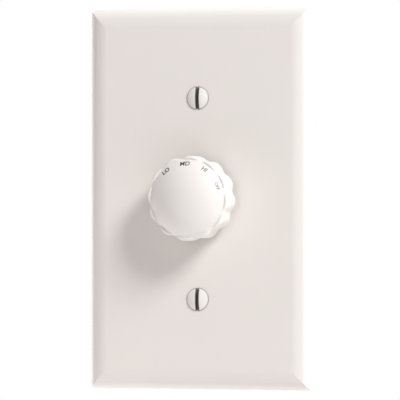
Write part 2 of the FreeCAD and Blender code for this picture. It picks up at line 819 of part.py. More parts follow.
def housing():
    """The moulded case: a shelf for the board, rivet posts, and a terminal recess in each long side."""
    body = new_body("housing")
    outline = sketch_on(body, "Outline", "XY_Plane", z="housing_back")
    draw_rounded_box(outline, "housing_x", "housing_y", "housing_corner")
    pad(body, "Case", outline, "housing_front - housing_back")
    mouth = sketch_on(body, "MouthOutline", "XY_Plane", z="housing_front")
    draw_box(mouth, "-cavity_x", "cavity_x", "-cavity_y", "cavity_y")
    pocket(body, "Mouth", mouth, "housing_front - board_rear")
    well = sketch_on(body, "WellOutline", "XY_Plane", z="board_rear")
    right = [("shelf_x", "-shelf_y"), ("shelf_x", "-inset_y"), ("inset_x", "-inset_y"),
             ("inset_x", "inset_y"), ("shelf_x", "inset_y"), ("shelf_x", "shelf_y")]
    draw_loop(well, right + [(f"-{x}", y) for x, y in reversed(right)])
    pocket(body, "Well", well, "component_space")

    posts = sketch_on(body, "PostOutlines", "XY_Plane", z="housing_floor")
    for x, y in four("rivet_x", "rivet_y"):
        draw_circle(posts, x, y, "post_radius")
    pad(body, "RivetPosts", posts, "housing_front - housing_floor")
    bosses = sketch_on(body, "BoardBossOutlines", "XY_Plane", z="housing_floor")
    for y in ("board_screw_y", "-board_screw_y"):
        draw_circle(bosses, "0", y, "board_boss_radius")
    pad(body, "BoardBosses", bosses, "component_space")
    recesses = sketch_on(body, "RecessOutlines", "XY_Plane", z="notch_top")
    slots = sketch_on(body, "TailSlotOutlines", "XY_Plane", z="board_rear")
    for side in ("", "-"):
        draw_box(recesses, f"{side}notch_floor", f"{side}(housing_x + housing_wall)",
                 "-notch_width / 2", "notch_width / 2")
        draw_box(slots, f"{side}(notch_floor - terminal_fit)", f"{side}(terminal_outside + terminal_fit)",
                 "-terminal_tail / 2 - terminal_fit", "terminal_tail / 2 + terminal_fit")
    pocket(body, "TerminalRecesses", recesses, "notch_top - housing_back")
    pocket(body, "TailSlots", slots, "notch_shoulder")
    holes = sketch_on(body, "RivetHoleOutlines", "XY_Plane", z="housing_front")
    for x, y in four("rivet_x", "rivet_y"):
        draw_circle(holes, x, y, "rivet_shank / 2 + rivet_fit")
    pocket(body, "RivetHoles", holes, "housing_front - housing_back")
    pilots = sketch_on(body, "PilotOutlines", "XY_Plane", z="board_rear")
    for y in ("board_screw_y", "-board_screw_y"):
        draw_circle(pilots, "0", y, "board_screw_thread / 2 + tapped_fit")
    pocket(body, "PilotHoles", pilots, "board_screw_length")
    sides = sketch_on(body, "TerminalHoleOutlines", "YZ_Plane", z="housing_x")
    draw_circle(sides, "0", "terminal_height", "terminal_thread / 2 + screw_clearance")
    pocket(body, "TerminalHoles", sides, "housing_width")
    return body


def housing_rivets():
    """Four long rivets that clamp strap, insulator and housing together."""
    body = new_body("housing_rivets")
    for name, low, high, width in (
        ("Back", "housing_back - rivet_head_height", "housing_back", "rivet_head"),
        ("Shank", "housing_back", "strap_thickness", "rivet_shank"),
        ("Front", "strap_thickness", "strap_thickness + rivet_head_height", "rivet_head"),
    ):
        outline = sketch_on(body, f"{name}Outlines", "XY_Plane", z=low)
        for x, y in four("rivet_x", "rivet_y"):
            draw_circle(outline, x, y, f"{width} / 2")
        pad(body, name, outline, f"{high} - ({low})")
    ends = [at_height(place) for place in ("strap_thickness + rivet_head_height",
                                           "housing_back - rivet_head_height")]
    round_edges(body, "HeadRounds", lambda edge: any(end(edge) for end in ends), "rivet_head_round")
    return body


def index_plate():
    """The detent plate: two stop prongs for the wheel's lug, and two tabs that carry the leaf spring."""
    body = new_body("index_plate")
    outline = sketch_on(body, "Outline", "XY_Plane", z="index_rear")
    draw_rounded_box(outline, "cavity_x - index_fit", "index_height / 2", "strap_round")
    draw_circle(outline, "0", "0", "bushing_radius + bushing_fit")
    pad(body, "Sheet", outline, "index_thickness")
    prongs = sketch_on(body, "ProngOutlines", "XY_Plane", z="wheel_rear")
    for angle in ("low_stop", "off_stop"):
        draw_radial_box(prongs, angle, "prong_inner", "prong_outer", "prong_width")
    pad(body, "StopProngs", prongs, "housing_front - wheel_rear")
    tabs = sketch_on(body, "TabOutlines", "XY_Plane", z="wheel_rear")
    for low, high in (("spring_tab_from", "spring_tab_to"), ("-spring_tab_to", "-spring_tab_from")):
        draw_box(tabs, "spring_seat", "spring_seat + spring_tab_thickness", low, high)
    pad(body, "SpringTabs", tabs, "housing_front - wheel_rear")
    return body


def detent_spring():
    """A leaf spring hooked round its two tabs, with a nose that rests in a notch of the wheel."""
    body = new_body("detent_spring")
    outline = sketch_on(body, "Outline", "XY_Plane", z="wheel_middle - spring_width / 2")
    hook = "spring_seat + spring_tab_thickness + spring_hook"
    end, outer_end = "spring_end", "(spring_end + spring_strip)"
    strip = "spring_strip"
    upper_inside = [("spring_inside", "spring_nose_half"), ("spring_inside", outer_end), (hook, outer_end)]
    upper_outside = [(hook, end), ("spring_seat", end),
                     ("spring_seat", f"spring_nose_half - {strip} / 2")]
    upper = upper_inside + upper_outside
    lower = [(x, f"-({y})") for x, y in reversed(upper)]
    nose_outside = [("spring_tip + spring_nose_depth", "0")]
    draw_loop(outline, [("spring_tip", "0")] + upper + nose_outside + lower)
    pad(body, "Leaf", outline, "spring_width")
    return body


def bushing():
    """The threaded bushing that carries the shaft, with its flange behind the index plate."""
    body = new_body("bushing")
    bore = "shaft_radius + shaft_fit"
    turned(body, "Bushing", [
        (bore, "flange_rear"),
        ("flange_radius", "flange_rear"),
        ("flange_radius", "index_rear"),
        ("bushing_radius", "index_rear"),
        ("bushing_radius", "bushing_front - bushing_chamfer"),
        ("bushing_radius - bushing_chamfer", "bushing_front"),
        (bore, "bushing_front"),
    ])
    return body


def lock_washer():
    """An internal-tooth washer under the nut."""
    body = new_body("lock_washer")
    ring = sketch_on(body, "RingOutline", "XY_Plane", z="strap_thickness")
    draw_circle(ring, "0", "0", "washer_inner + washer_ring")
    draw_circle(ring, "0", "0", "washer_inner")
    pad(body, "Ring", ring, "washer_thickness")
    tooth = sketch_on(body, "ToothOutline", "XY_Plane", z="strap_thickness")
    draw_radial_box(tooth, "0", "bushing_radius + bushing_fit", "washer_inner + washer_ring / 2",
                    "washer_tooth_width")
    first = pad(body, "Tooth", tooth, "washer_thickness")
    repeat_round(body, "Teeth", [first], "washer_teeth")
    return body


def bushing_nut():
    body = new_body("bushing_nut")
    outline = sketch_on(body, "Outline", "XY_Plane", z="washer_front")
    draw_hexagon(outline, "nut_across_flats")
    draw_circle(outline, "0", "0", "bushing_radius + nut_fit")
    pad(body, "Nut", outline, "nut_thickness")
    corner = sketch_on(body, "CornerSection", "XZ_Plane")
    flat, reach = "nut_across_flats / 2", "nut_across_flats"
    draw_loop(corner, [
        (flat, "nut_front"),
        (reach, f"nut_front - ({reach} - {flat}) * tan(nut_chamfer_angle)"),
        (reach, "nut_front + nut_thickness"),
        (flat, "nut_front + nut_thickness"),
    ])
    groove(body, "CornerChamfer", corner)
    return body


def circuit_board():
    """The board that carries the contacts in front and the components behind."""
    body = new_body("circuit_board")
    outline = sketch_on(body, "Outline", "XY_Plane", z="board_rear")
    draw_box(outline, "-cavity_x + board_fit", "cavity_x - board_fit", "-cavity_y + board_fit",
             "cavity_y - board_fit")
    pad(body, "Board", outline, "board_thickness")
    holes = sketch_on(body, "HoleOutlines", "XY_Plane", z="board_front")
    for step in SETTINGS:
        angle = f"90 + {step} * detent_step"
        draw_circle(holes, f"wiper_track * cos({angle})", f"wiper_track * sin({angle})",
                    "stud_shank + lead_fit")
    for y in ("board_screw_y", "-board_screw_y"):
        draw_circle(holes, "0", y, "board_screw_thread / 2 + screw_clearance")
    for x, y in four("capacitor_pitch / 2", "capacitor_y"):
        draw_circle(holes, x, y, "capacitor_lead / 2 + lead_fit")
    for x, y in four("resistor_pitch / 2", "resistor_y"):
        draw_circle(holes, x, y, "resistor_lead / 2 + lead_fit")
    for side in ("", "-"):
        draw_box(holes, f"{side}(notch_floor - terminal_fit)", f"{side}(terminal_outside + terminal_fit)",
                 "-terminal_tail / 2 - terminal_fit", "terminal_tail / 2 + terminal_fit")
    pocket(body, "Holes", holes, "board_thickness")
    corners = sketch_on(body, "CornerOutlines", "XY_Plane", z="board_front")
    for x, y in four("rivet_x", "rivet_y"):
        draw_circle(corners, x, y, "post_radius + board_fit")
    pocket(body, "PostCorners", corners, "board_thickness")
    return body


def contact_studs():
    """Four riveted contacts, one for each setting of the knob."""
    body = new_body("contact_studs")
    for name, low, high, radius in (
        ("Face", "board_front", "stud_front", "stud_radius"),
        ("Shank", "board_rear", "board_front", "stud_shank"),
        ("Tail", "board_rear - stud_tail", "board_rear", "stud_radius"),
    ):
        outline = sketch_on(body, f"{name}Outlines", "XY_Plane", z=low)
        for step in SETTINGS:
            angle = f"90 + {step} * detent_step"
            draw_circle(outline, f"wiper_track * cos({angle})", f"wiper_track * sin({angle})", radius)
        pad(body, name, outline, f"{high} - ({low})")
    return body


def common_contact():
    """The curved track that the wiper's other arm never leaves."""
    body = new_body("common_contact")
    track = sketch_on(body, "TrackSection", "XZ_Plane")
    draw_box(track, "common_inner", "common_outer", "board_front", "stud_front")
    made = feature(body, "Revolution", "Track", track)
    made.ReferenceAxis = (track, ["V_Axis"])
    tie(made, "Angle", "common_sweep")
    doc.recompute()
    turn = number("270 + detent_step / 2 - common_sweep / 2")
    body.Placement = WALL * FreeCAD.Placement(
        FreeCAD.Vector(0, 0, 0), FreeCAD.Rotation(FreeCAD.Vector(0, 0, 1), turn)
    )
    return body


def capacitor(label, y):
    """A boxed film capacitor that hangs behind the board by its two leads."""
    body = new_body(label)
    outline = sketch_on(body, "Outline", "XY_Plane", z="board_rear - capacitor_depth")
    half = "capacitor_width / 2"
    draw_box(outline, "-capacitor_length / 2", "capacitor_length / 2", f"{y} - {half}", f"{y} + {half}")
    pad(body, "Box", outline, "capacitor_depth")
    round_edges(body, "BoxRounds", lambda edge: not at_height("board_rear")(edge), "capacitor_round")
    leads = sketch_on(body, "LeadOutlines", "XY_Plane", z="board_rear")
    for x in ("capacitor_pitch / 2", "-capacitor_pitch / 2"):
        draw_circle(leads, x, y, "capacitor_lead / 2")
    pad(body, "Leads", leads, "board_thickness + lead_past_board")
    return body


def bleed_resistors():
    """Two small resistors on bent leads, one across each capacitor."""
    body = new_body("bleed_resistors")
    half, cap_end = "resistor_length / 2", "(resistor_length / 2 - resistor_cap)"
    bodies = turned(body, "Body", [
        (f"-{half}", "0"),
        (half, "0"),
        (half, "resistor_radius"),
        (cap_end, "resistor_radius"),
        (cap_end, "resistor_waist"),
        (f"-{cap_end}", "resistor_waist"),
        (f"-{cap_end}", "resistor_radius"),
        (f"-{half}", "resistor_radius"),
    ], axis="H_Axis", y="resistor_height", z="-resistor_y")
    straight = sketch_on(body, "LeadSection", "YZ_Plane", x="resistor_y", y="resistor_height",
                         z="-resistor_pitch / 2 - resistor_lead / 2")
    draw_circle(straight, "0", "0", "resistor_lead / 2")
    across = pad(body, "Lead", straight, "resistor_pitch + resistor_lead")
    upright_leads = sketch_on(body, "LegOutlines", "XY_Plane", z="resistor_height")
    for x in ("resistor_pitch / 2", "-resistor_pitch / 2"):
        draw_circle(upright_leads, x, "resistor_y", "resistor_lead / 2")
    legs = pad(body, "Legs", upright_leads, "board_front + lead_past_board - resistor_height")
    mirror(body, "Pair", [bodies, across, legs], "XZ_Plane")
    return body


def terminal(label, left_face):
    """A flat brass terminal in its recess, with a tail that goes through the housing to the board."""
    body = new_body(label)
    outline = sketch_on(body, "Outline", "YZ_Plane", z=left_face)
    wide, tail = "terminal_width / 2", "terminal_tail / 2"
    shoulder, top = "notch_top - terminal_fit", "board_front + lead_past_board"
    right = [(wide, "housing_back + terminal_set"), (wide, shoulder), (tail, shoulder), (tail, top)]
    draw_loop(outline, right + [(f"-{y}", height) for y, height in reversed(right)])
    draw_circle(outline, "0", "terminal_height", "terminal_thread / 2 + tapped_fit")
    pad(body, "Strip", outline, "terminal_thickness")
    return body


def terminal_screws():
    """A binding-head screw on each side."""
    body = new_body("terminal_screws")
    head_end = "terminal_outside + terminal_head_height"
    tip = "terminal_outside - terminal_screw_length"
    head_round = "(terminal_head_height / 4)"
    screw = turned(body, "Screw", [
        (tip, "0"),
        (head_end, "0"),
        (head_end, f"terminal_head / 2 - {head_round}", RIGHT, head_round),
        (f"{head_end} - {head_round}", "terminal_head / 2"),
        ("terminal_outside", "terminal_head / 2"),
        ("terminal_outside", "terminal_thread / 2"),
        (f"{tip} + screw_point", "terminal_thread / 2"),
        (tip, "terminal_thread / 2 - screw_point"),
    ], axis="H_Axis", y="terminal_height")
    slot = sketch_on(body, "SlotOutline", "YZ_Plane", y="terminal_height", z=head_end)
    draw_box(slot, "-terminal_head", "terminal_head", "-terminal_slot / 2", "terminal_slot / 2")
    cut = pocket(body, "Slot", slot, "terminal_slot_depth")
    mirror(body, "Pair", [screw, cut], "YZ_Plane")
    return body


def board_screws():
    body = new_body("board_screws")
    thread, head = "board_screw_thread / 2", "board_screw_head / 2"
    top = "board_front + board_screw_head_height"
    tip = "board_rear - board_screw_length + screw_point"
    head_round = "(board_screw_head_height / 2)"
    screw = turned(body, "Screw", [
        ("0", tip),
        (f"{thread} - screw_point", tip),
        (thread, f"{tip} + screw_point"),
        (thread, "board_front"),
        (head, "board_front"),
        (head, f"{top} - {head_round}", LEFT, head_round),
        (f"{head} - {head_round}", top),
        ("0", top),
    ], z="-board_screw_y")
    slot = sketch_on(body, "SlotOutline", "XY_Plane", z=top)
    draw_box(slot, "-board_screw_head", "board_screw_head",
             "board_screw_y - board_screw_slot / 2", "board_screw_y + board_screw_slot / 2")
    cut = pocket(body, "Slot", slot, "board_screw_slot_depth")
    mirror(body, "Pair", [screw, cut], "XZ_Plane")
    return body


def knob():
    """The knob: a ring of soft lobes round a dome that rises from a dish, hollow behind, with a ribbed hub."""
    body = new_body("knob")
    wedge = sketch_on(body, "LobeOutline", "XY_Plane", z="knob_rear")
    tie(wedge, "AttachmentOffset.Rotation.Angle", "lobe_phase")
    valley = ("valley_radius * valley_cos", "valley_radius * valley_sin")
    draw_loop(wedge, [
        ("0", "0"),
        (valley[0], f"-{valley[1]}", RIGHT, "valley_round"),
        ("lobe_turn_x", "-lobe_turn_y", LEFT, "lobe_round"),
        ("lobe_turn_x", "lobe_turn_y", RIGHT, "valley_round"),
        valley,
    ])
    lobe = pad(body, "Lobe", wedge, "lobe_depth")
    repeat_round(body, "Lobes", [lobe], "lobe_count")
    at_front = at_height("lobe_front")
    inside = number("knob_radius - lobe_height")

    def on_lobe_rim(edge):
        return at_front(edge) and all(math.hypot(v.X, v.Y) > inside for v in edge.Vertexes)

    round_edges(body, "LobeEdges", on_lobe_rim, "lobe_edge")
    dish = sketch_on(body, "DishSection", "XZ_Plane")
    draw_loop(dish, [
        ("0", "dome_edge"),
        ("dome_radius", "dome_edge"),
        ("dome_radius + crease_width", "lobe_front"),
        ("dome_radius + crease_width", "knob_front"),
        ("0", "knob_front"),
    ])
    groove(body, "Dish", dish)
    turned(body, "Dome", [
        ("0", "knob_rear"),
        ("dome_radius", "knob_rear"),
        ("dome_radius", "dome_edge", LEFT, "dome_round"),
        ("0", "knob_front"),
    ])
    hollow = sketch_on(body, "HollowSection", "XZ_Plane")
    below = "knob_rear - hub_recess"
    draw_loop(hollow, [
        ("0", below),
        ("skirt_inside", below),
        ("skirt_inside", "skirt_ceiling", LEFT, "dome_inside"),
        ("hub_radius", "hub_ceiling"),
        ("hub_radius", "hub_rear"),
        ("0", "hub_rear"),
    ])
    groove(body, "Hollow", hollow)
    rib = sketch_on(body, "RibSection", "XZ_Plane", z="-knob_rib_width / 2")
    half_wall = "knob_wall / 2"
    draw_loop(rib, [
        (f"hub_radius - {half_wall}", "rib_rear"),
        (f"skirt_inside + {half_wall}", "rib_rear"),
        (f"skirt_inside + {half_wall}", "skirt_ceiling"),
        (f"hub_radius - {half_wall}", f"hub_ceiling + {half_wall}"),
    ])
    first = pad(body, "Rib", rib, "knob_rib_width")
    repeat_round(body, "Ribs", [first], "knob_rib_count")
    bore = sketch_on(body, "BoreOutline", "XY_Plane", z="bore_end")
    draw_flatted_bore(bore, "shaft_radius + bore_fit", "shaft_flat + bore_fit")
    pocket(body, "Bore", bore, "bore_depth")
    return body


def knob_spring():
    """A wire ring that tightens the knob's hub on the shaft."""
    body = new_body("knob_spring")
    wire = sketch_on(body, "WireSection", "XZ_Plane")
    reach = "hub_radius + knob_spring_fit + knob_spring_wire / 2"
    draw_circle(wire, reach, "hub_rear + knob_spring_wire", "knob_spring_wire / 2")
    revolve(body, "Ring", wire, sweep="knob_spring_sweep")
    return body


def shaft():
    """The shaft: a flatted end for the knob, a clip groove, and a flatted journal riveted over behind."""
    body = new_body("shaft")
    turned(body, "Shaft", [
        ("0", "shaft_rear"),
        ("shaft_head", "shaft_rear"),
        ("shaft_head", "rotor_rear"),
        ("journal_radius", "rotor_rear"),
        ("journal_radius", "wheel_front"),
        ("shaft_radius", "wheel_front"),
        ("shaft_radius", "clip_rear"),
        ("clip_groove", "clip_rear"),
        ("clip_groove", "clip_front + clip_fit"),
        ("shaft_radius", "clip_front + clip_fit"),
        ("shaft_radius", "shaft_tip - shaft_chamfer"),
        ("shaft_radius - shaft_chamfer", "shaft_tip"),
        ("0", "shaft_tip"),
    ])
    for name, top, depth, flat in (
        ("KnobFlat", "shaft_tip", "bore_depth - tip_gap", "shaft_flat"),
        ("JournalFlat", "wheel_front", "wheel_front - rotor_rear", "journal_flat"),
    ):
        outline = sketch_on(body, f"{name}Outline", "XY_Plane", z=top)
        draw_box(outline, flat, "shaft_diameter", "-shaft_diameter", "shaft_diameter")
        pocket(body, name, outline, depth)
    return body


def shaft_clip():
    """An open retaining ring in the shaft's groove."""
    body = new_body("shaft_clip")
    outline = sketch_on(body, "Outline", "XY_Plane", z="clip_rear")
    draw_circle(outline, "0", "0", "clip_radius")
    draw_circle(outline, "0", "0", "clip_groove + clip_fit")
    pad(body, "Ring", outline, "clip_thickness")
    mouth = sketch_on(body, "MouthOutline", "XY_Plane", z="clip_front")
    draw_box(mouth, "-clip_mouth / 2", "clip_mouth / 2", "-2 * clip_radius", "0")
    pocket(body, "Mouth", mouth, "clip_thickness")
    return body


def detent_wheel():
    """A notched wheel with one lug, which meets the index plate's prongs at the ends of the travel."""
    body = new_body("detent_wheel")
    disc = sketch_on(body, "Outline", "XY_Plane", z="wheel_rear")
    draw_circle(disc, "0", "0", "wheel_radius")
    pad(body, "Disc", disc, "wheel_thickness")
    notch = sketch_on(body, "NotchOutline", "XY_Plane", z="wheel_front")
    draw_circle(notch, "notch_centre", "0", "notch_round")
    first = pocket(body, "Notch", notch, "wheel_thickness")
    repeat_round(body, "Notches", [first], "round(360 / detent_step)")
    lug = sketch_on(body, "LugOutline", "XY_Plane", z="wheel_rear")
    draw_radial_box(lug, "180", "journal_radius + wheel_thickness", "lug_radius", "lug_width")
    pad(body, "Lug", lug, "wheel_thickness")
    bore = sketch_on(body, "BoreOutline", "XY_Plane", z="wheel_front")
    draw_flatted_bore(bore, "journal_radius + journal_fit", "journal_flat + journal_fit")
    pocket(body, "Bore", bore, "wheel_thickness")
    return body


def contact_rotor():
    """The insulating disc that carries the wiper round."""
    body = new_body("contact_rotor")
    disc = sketch_on(body, "Outline", "XY_Plane", z="rotor_rear")
    draw_circle(disc, "0", "0", "rotor_radius")
    pad(body, "Disc", disc, "rotor_thickness")
    bore = sketch_on(body, "BoreOutline", "XY_Plane", z="wheel_rear")
    draw_flatted_bore(bore, "journal_radius + journal_fit", "journal_flat + journal_fit")
    pocket(body, "Bore", bore, "rotor_thickness")
    return body


def wiper():
    """A sprung contact: a ring on the rotor and two arms bent back to the contacts on the board."""
    body = new_body("wiper")
    ring = sketch_on(body, "RingOutline", "XY_Plane", z="wiper_rear")
    draw_circle(ring, "0", "0", "wiper_ring_outer")
    draw_circle(ring, "0", "0", "wiper_ring_inner")
    pad(body, "Ring", ring, "wiper_thickness")
    arm = sketch_on(body, "ArmSection", "YZ_Plane", z="-wiper_width / 2")
    root = "(wiper_ring_outer - wiper_thickness)"
    heel = "wiper_tip + wiper_thickness"
    draw_loop(arm, [
        (root, "rotor_rear"),
        (root, "wiper_rear"),
        ("wiper_track - wiper_toe", "wiper_tip"),
        ("wiper_track + wiper_toe", "wiper_tip"),
        ("wiper_track + wiper_toe", heel),
        ("wiper_track - wiper_toe + wiper_thickness / 2", heel),
        ("wiper_ring_outer", "rotor_rear"),
    ])
    first = pad(body, "Arm", arm, "wiper_width")
    mirror(body, "Arms", [first], "XZ_Plane")
    return body


def build():
    return [
        wall_plate(),
        plate_screws(),
        mounting_strap(),
        box_screws(),
        screw_retainers(),
        ground_screw(),
        insulator_sheet(),
        housing(),
        housing_rivets(),
        index_plate(),
        detent_spring(),
        bushing(),
        lock_washer(),
        bushing_nut(),
        circuit_board(),
        contact_studs(),
        common_contact(),
        capacitor("low_capacitor", "capacitor_y"),
        capacitor("medium_capacitor", "-capacitor_y"),
        bleed_resistors(),
        terminal("line_terminal", "notch_floor"),
        terminal("load_terminal", "-terminal_outside"),
        terminal_screws(),
        board_screws(),
        knob(),
        knob_spring(),
        shaft(),
        shaft_clip(),
        detent_wheel(),
        contact_rotor(),
        wiper(),
    ]


def check(bodies):
    for thing in doc.Objects:
        faults = {"Invalid", "Error"} & set(thing.State)
        assert not faults, f"{thing.Label} is {thing.State}"
    for body in bodies:
        assert not body.Shape.isNull(), f"{body.Label} has no shape"
        assert body.Shape.isValid(), f"{body.Label} is not valid"
        assert body.Shape.Solids, f"{body.Label} has no solid"


pieces = build()
doc.recompute()
check(pieces)
os.makedirs("parts", exist_ok=True)
for piece in pieces:
    piece.Shape.exportStep(os.path.join("parts", f"{piece.Label}.step"))
    print(f"{piece.Label}: {len(piece.Shape.Solids)} solids, {piece.Shape.Volume:.1f} mm3")
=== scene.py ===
import math

import bmesh
import bpy
from mathutils import Matrix, Vector

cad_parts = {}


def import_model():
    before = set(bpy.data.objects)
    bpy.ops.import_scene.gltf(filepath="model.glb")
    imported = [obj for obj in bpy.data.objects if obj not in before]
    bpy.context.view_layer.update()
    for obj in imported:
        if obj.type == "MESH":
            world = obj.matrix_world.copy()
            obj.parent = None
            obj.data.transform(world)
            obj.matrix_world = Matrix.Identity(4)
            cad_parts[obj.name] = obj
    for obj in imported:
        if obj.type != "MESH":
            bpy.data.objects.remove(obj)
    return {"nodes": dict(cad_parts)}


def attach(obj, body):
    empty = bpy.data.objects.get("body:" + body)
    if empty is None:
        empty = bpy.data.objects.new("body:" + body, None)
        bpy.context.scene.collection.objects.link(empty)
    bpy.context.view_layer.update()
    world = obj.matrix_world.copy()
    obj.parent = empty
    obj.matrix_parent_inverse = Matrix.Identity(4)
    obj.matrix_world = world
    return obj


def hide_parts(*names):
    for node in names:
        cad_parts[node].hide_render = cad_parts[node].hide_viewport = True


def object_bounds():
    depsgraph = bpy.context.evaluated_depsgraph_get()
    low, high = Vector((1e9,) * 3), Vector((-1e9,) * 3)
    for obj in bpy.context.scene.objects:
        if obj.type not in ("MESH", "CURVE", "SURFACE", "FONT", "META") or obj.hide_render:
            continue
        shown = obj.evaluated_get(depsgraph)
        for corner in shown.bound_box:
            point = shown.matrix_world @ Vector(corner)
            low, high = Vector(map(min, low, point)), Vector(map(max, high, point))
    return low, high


# A rotary fan speed control on a white wall plate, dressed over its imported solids. Lengths below are in
# millimetres, heights are measured out of the wall (along -Y), and MM turns them into the frame's metres.
MM = 0.001
MICRON = 0.001

# Camera, as seen by a picture of PICTURE pixels a side
PICTURE = 400
FOCAL_PIXELS = 4016.0
SENSOR = 36.0
DISTANCE = 1209.0
AZIMUTH = 18.8
ELEVATION = -0.5
ROLL = 0.03
ORIGIN_RIGHT_PIXELS = 4.26
ORIGIN_UP_PIXELS = 1.17
CLIP_NEAR = 10.0
CLIP_FAR = 50000.0

# Room
FLOOR_DROP = 250.0
FLOOR_RADIUS = 700.0
FLOOR_SEGMENTS = 96
FLOOR_COLOUR = (0.95, 0.945, 0.94)
WHITE = (1.0, 1.0, 1.0)
WARM = (1.0, 0.925, 0.918)
ROOM_SEEN = 1.0
ROOM_LIGHT = 0.375

# Lamps, each with its direction, distance, size, power and colour
LAMPS = {
    "key": ((0.655, -0.42, 0.63), 1200.0, 340.0, 12.0, WHITE),
    "left": ((-0.85, 0.5, 0.0), 1500.0, 900.0, 9.4, WHITE),
    "right": ((0.85, 0.5, 0.0), 1500.0, 900.0, 15.1, WHITE),
    "top": ((0.0, 0.3, 0.95), 1500.0, 900.0, 6.4, WHITE),
    "low_left": ((-0.75, -0.1, -0.62), 240.0, 300.0, 0.14, WARM),
}

# Dome of the knob. In the solid its edge is sunk deeper between the lobes than in the knob that shows.
DOME_RADIUS = 11.5
DOME_TOP = 19.9
DOME_EDGE = 15.8
SUNK_EDGE = 14.7
CREASE_WIDTH = 0.6
LOBE_FRONT = 16.0
NEAR = 0.03
DOME_RISE = DOME_TOP - DOME_EDGE
DOME_ROUND = (DOME_RADIUS ** 2 + DOME_RISE ** 2) / (2 * DOME_RISE)
DOME_CENTRE = DOME_TOP - DOME_ROUND

# Words on the dome, each with its angle from the right and its height. The ink pales towards the right, a
# painted highlight where the light washes it out.
WORD_RING = 10.3
WORD_WEIGHT = 0.045
CAPITAL_SHARE = 0.73
INK_DEPTH = 0.012
WORD_CUTS = 2
WORDS = (("LO", 128.5, 1.5), ("MD", 92.5, 1.5), ("HI", 56.5, 1.35), ("OFF", 20.5, 1.0))
INK_HIGHLIGHT_FROM = -2.0
INK_HIGHLIGHT_TO = 9.0
INK_HIGHLIGHT_SHARE = 0.4

# Screws. A thread's crest and flank are shares of its pitch, and a shank runs into its head by SEAT.
PITCH = 0.794
THREAD_DEPTH = 0.43
THREAD_STEPS = 28
THREAD_ROWS = 9
CREST_AT = 0.43
FLANK = 0.36
TIP_CHAMFER = 0.6
SEAT = 0.3
TURNED_STEPS = 64
CAP_STEPS = 8
HEX_SIDES = 6
SLOT = 1.1
EDGE_BREAK = 0.05
EDGE_SEGMENTS = 2
SHARP_ANGLE = 35.0
# Painted shade: the width and colour of a dark ring in the crevice round each plate screw's head
RIM_SHADE_WIDTH = 0.35
RIM_SHADE_COLOUR = (0.34, 0.32, 0.31)
# Painted shade: the dark colour of the floor and walls of each plate screw's slot
SLOT_SHADE_COLOUR = (0.16, 0.15, 0.14)
OUTWARD = Matrix.Rotation(math.radians(90), 4, "X")
LEFTWARD = Matrix.Rotation(math.radians(-90), 4, "Y")
THREAD_RADIUS = 1.75
STRAP_FACE = 1.5
PLATE_FACE = 6.0
PLATE_SCREW_Z = 30.1625
PLATE_SCREW_TIP = -6.7
PLATE_SCREW_NECK = 4.044
PLATE_SCREW_HEAD = 3.45
PLATE_SCREW_EDGE = 6.2
PLATE_SCREW_TOP = 7.0
PLATE_SCREW_SLOT_FLOOR = 5.5
BOX_SCREW_Z = 41.67
BOX_SCREW_TIP = -23.9
BOX_THREAD_TOP = -0.45
BOX_SCREW_NECK = 1.6
BOX_SCREW_HEAD = 3.6
BOX_SCREW_EDGE = 2.4
BOX_SCREW_TOP = 3.3
BOX_SCREW_SLOT_FLOOR = 2.4
GROUND_Z = -31.0
GROUND_DROP = 5.2
GROUND_TIP = 2.0
GROUND_TAB = 9.5
GROUND_THREAD = 2.05
GROUND_FLANGE = 4.5
GROUND_FLANGE_TOP = 10.3
GROUND_HEX = 3.695
GROUND_HEX_TOP = 12.5
GROUND_CHAMFER = 0.25

# Patterns of the finishes: sizes of their patches, their detail, and how far the roughness strays
DRIFT = 14.0
DRIFT_DETAIL = 2.0
SHEEN = 3.0
SHEEN_RANGE = 0.05
PATINA = 1.6
POLISH = 0.8
PLATED_DETAIL = 4.0
PLATED_SMOOTHER = 0.08
PLATED_ROUGHER = 0.1
GRAIN_DETAIL = 2.0

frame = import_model()
cad_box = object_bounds()
nodes = frame["nodes"]


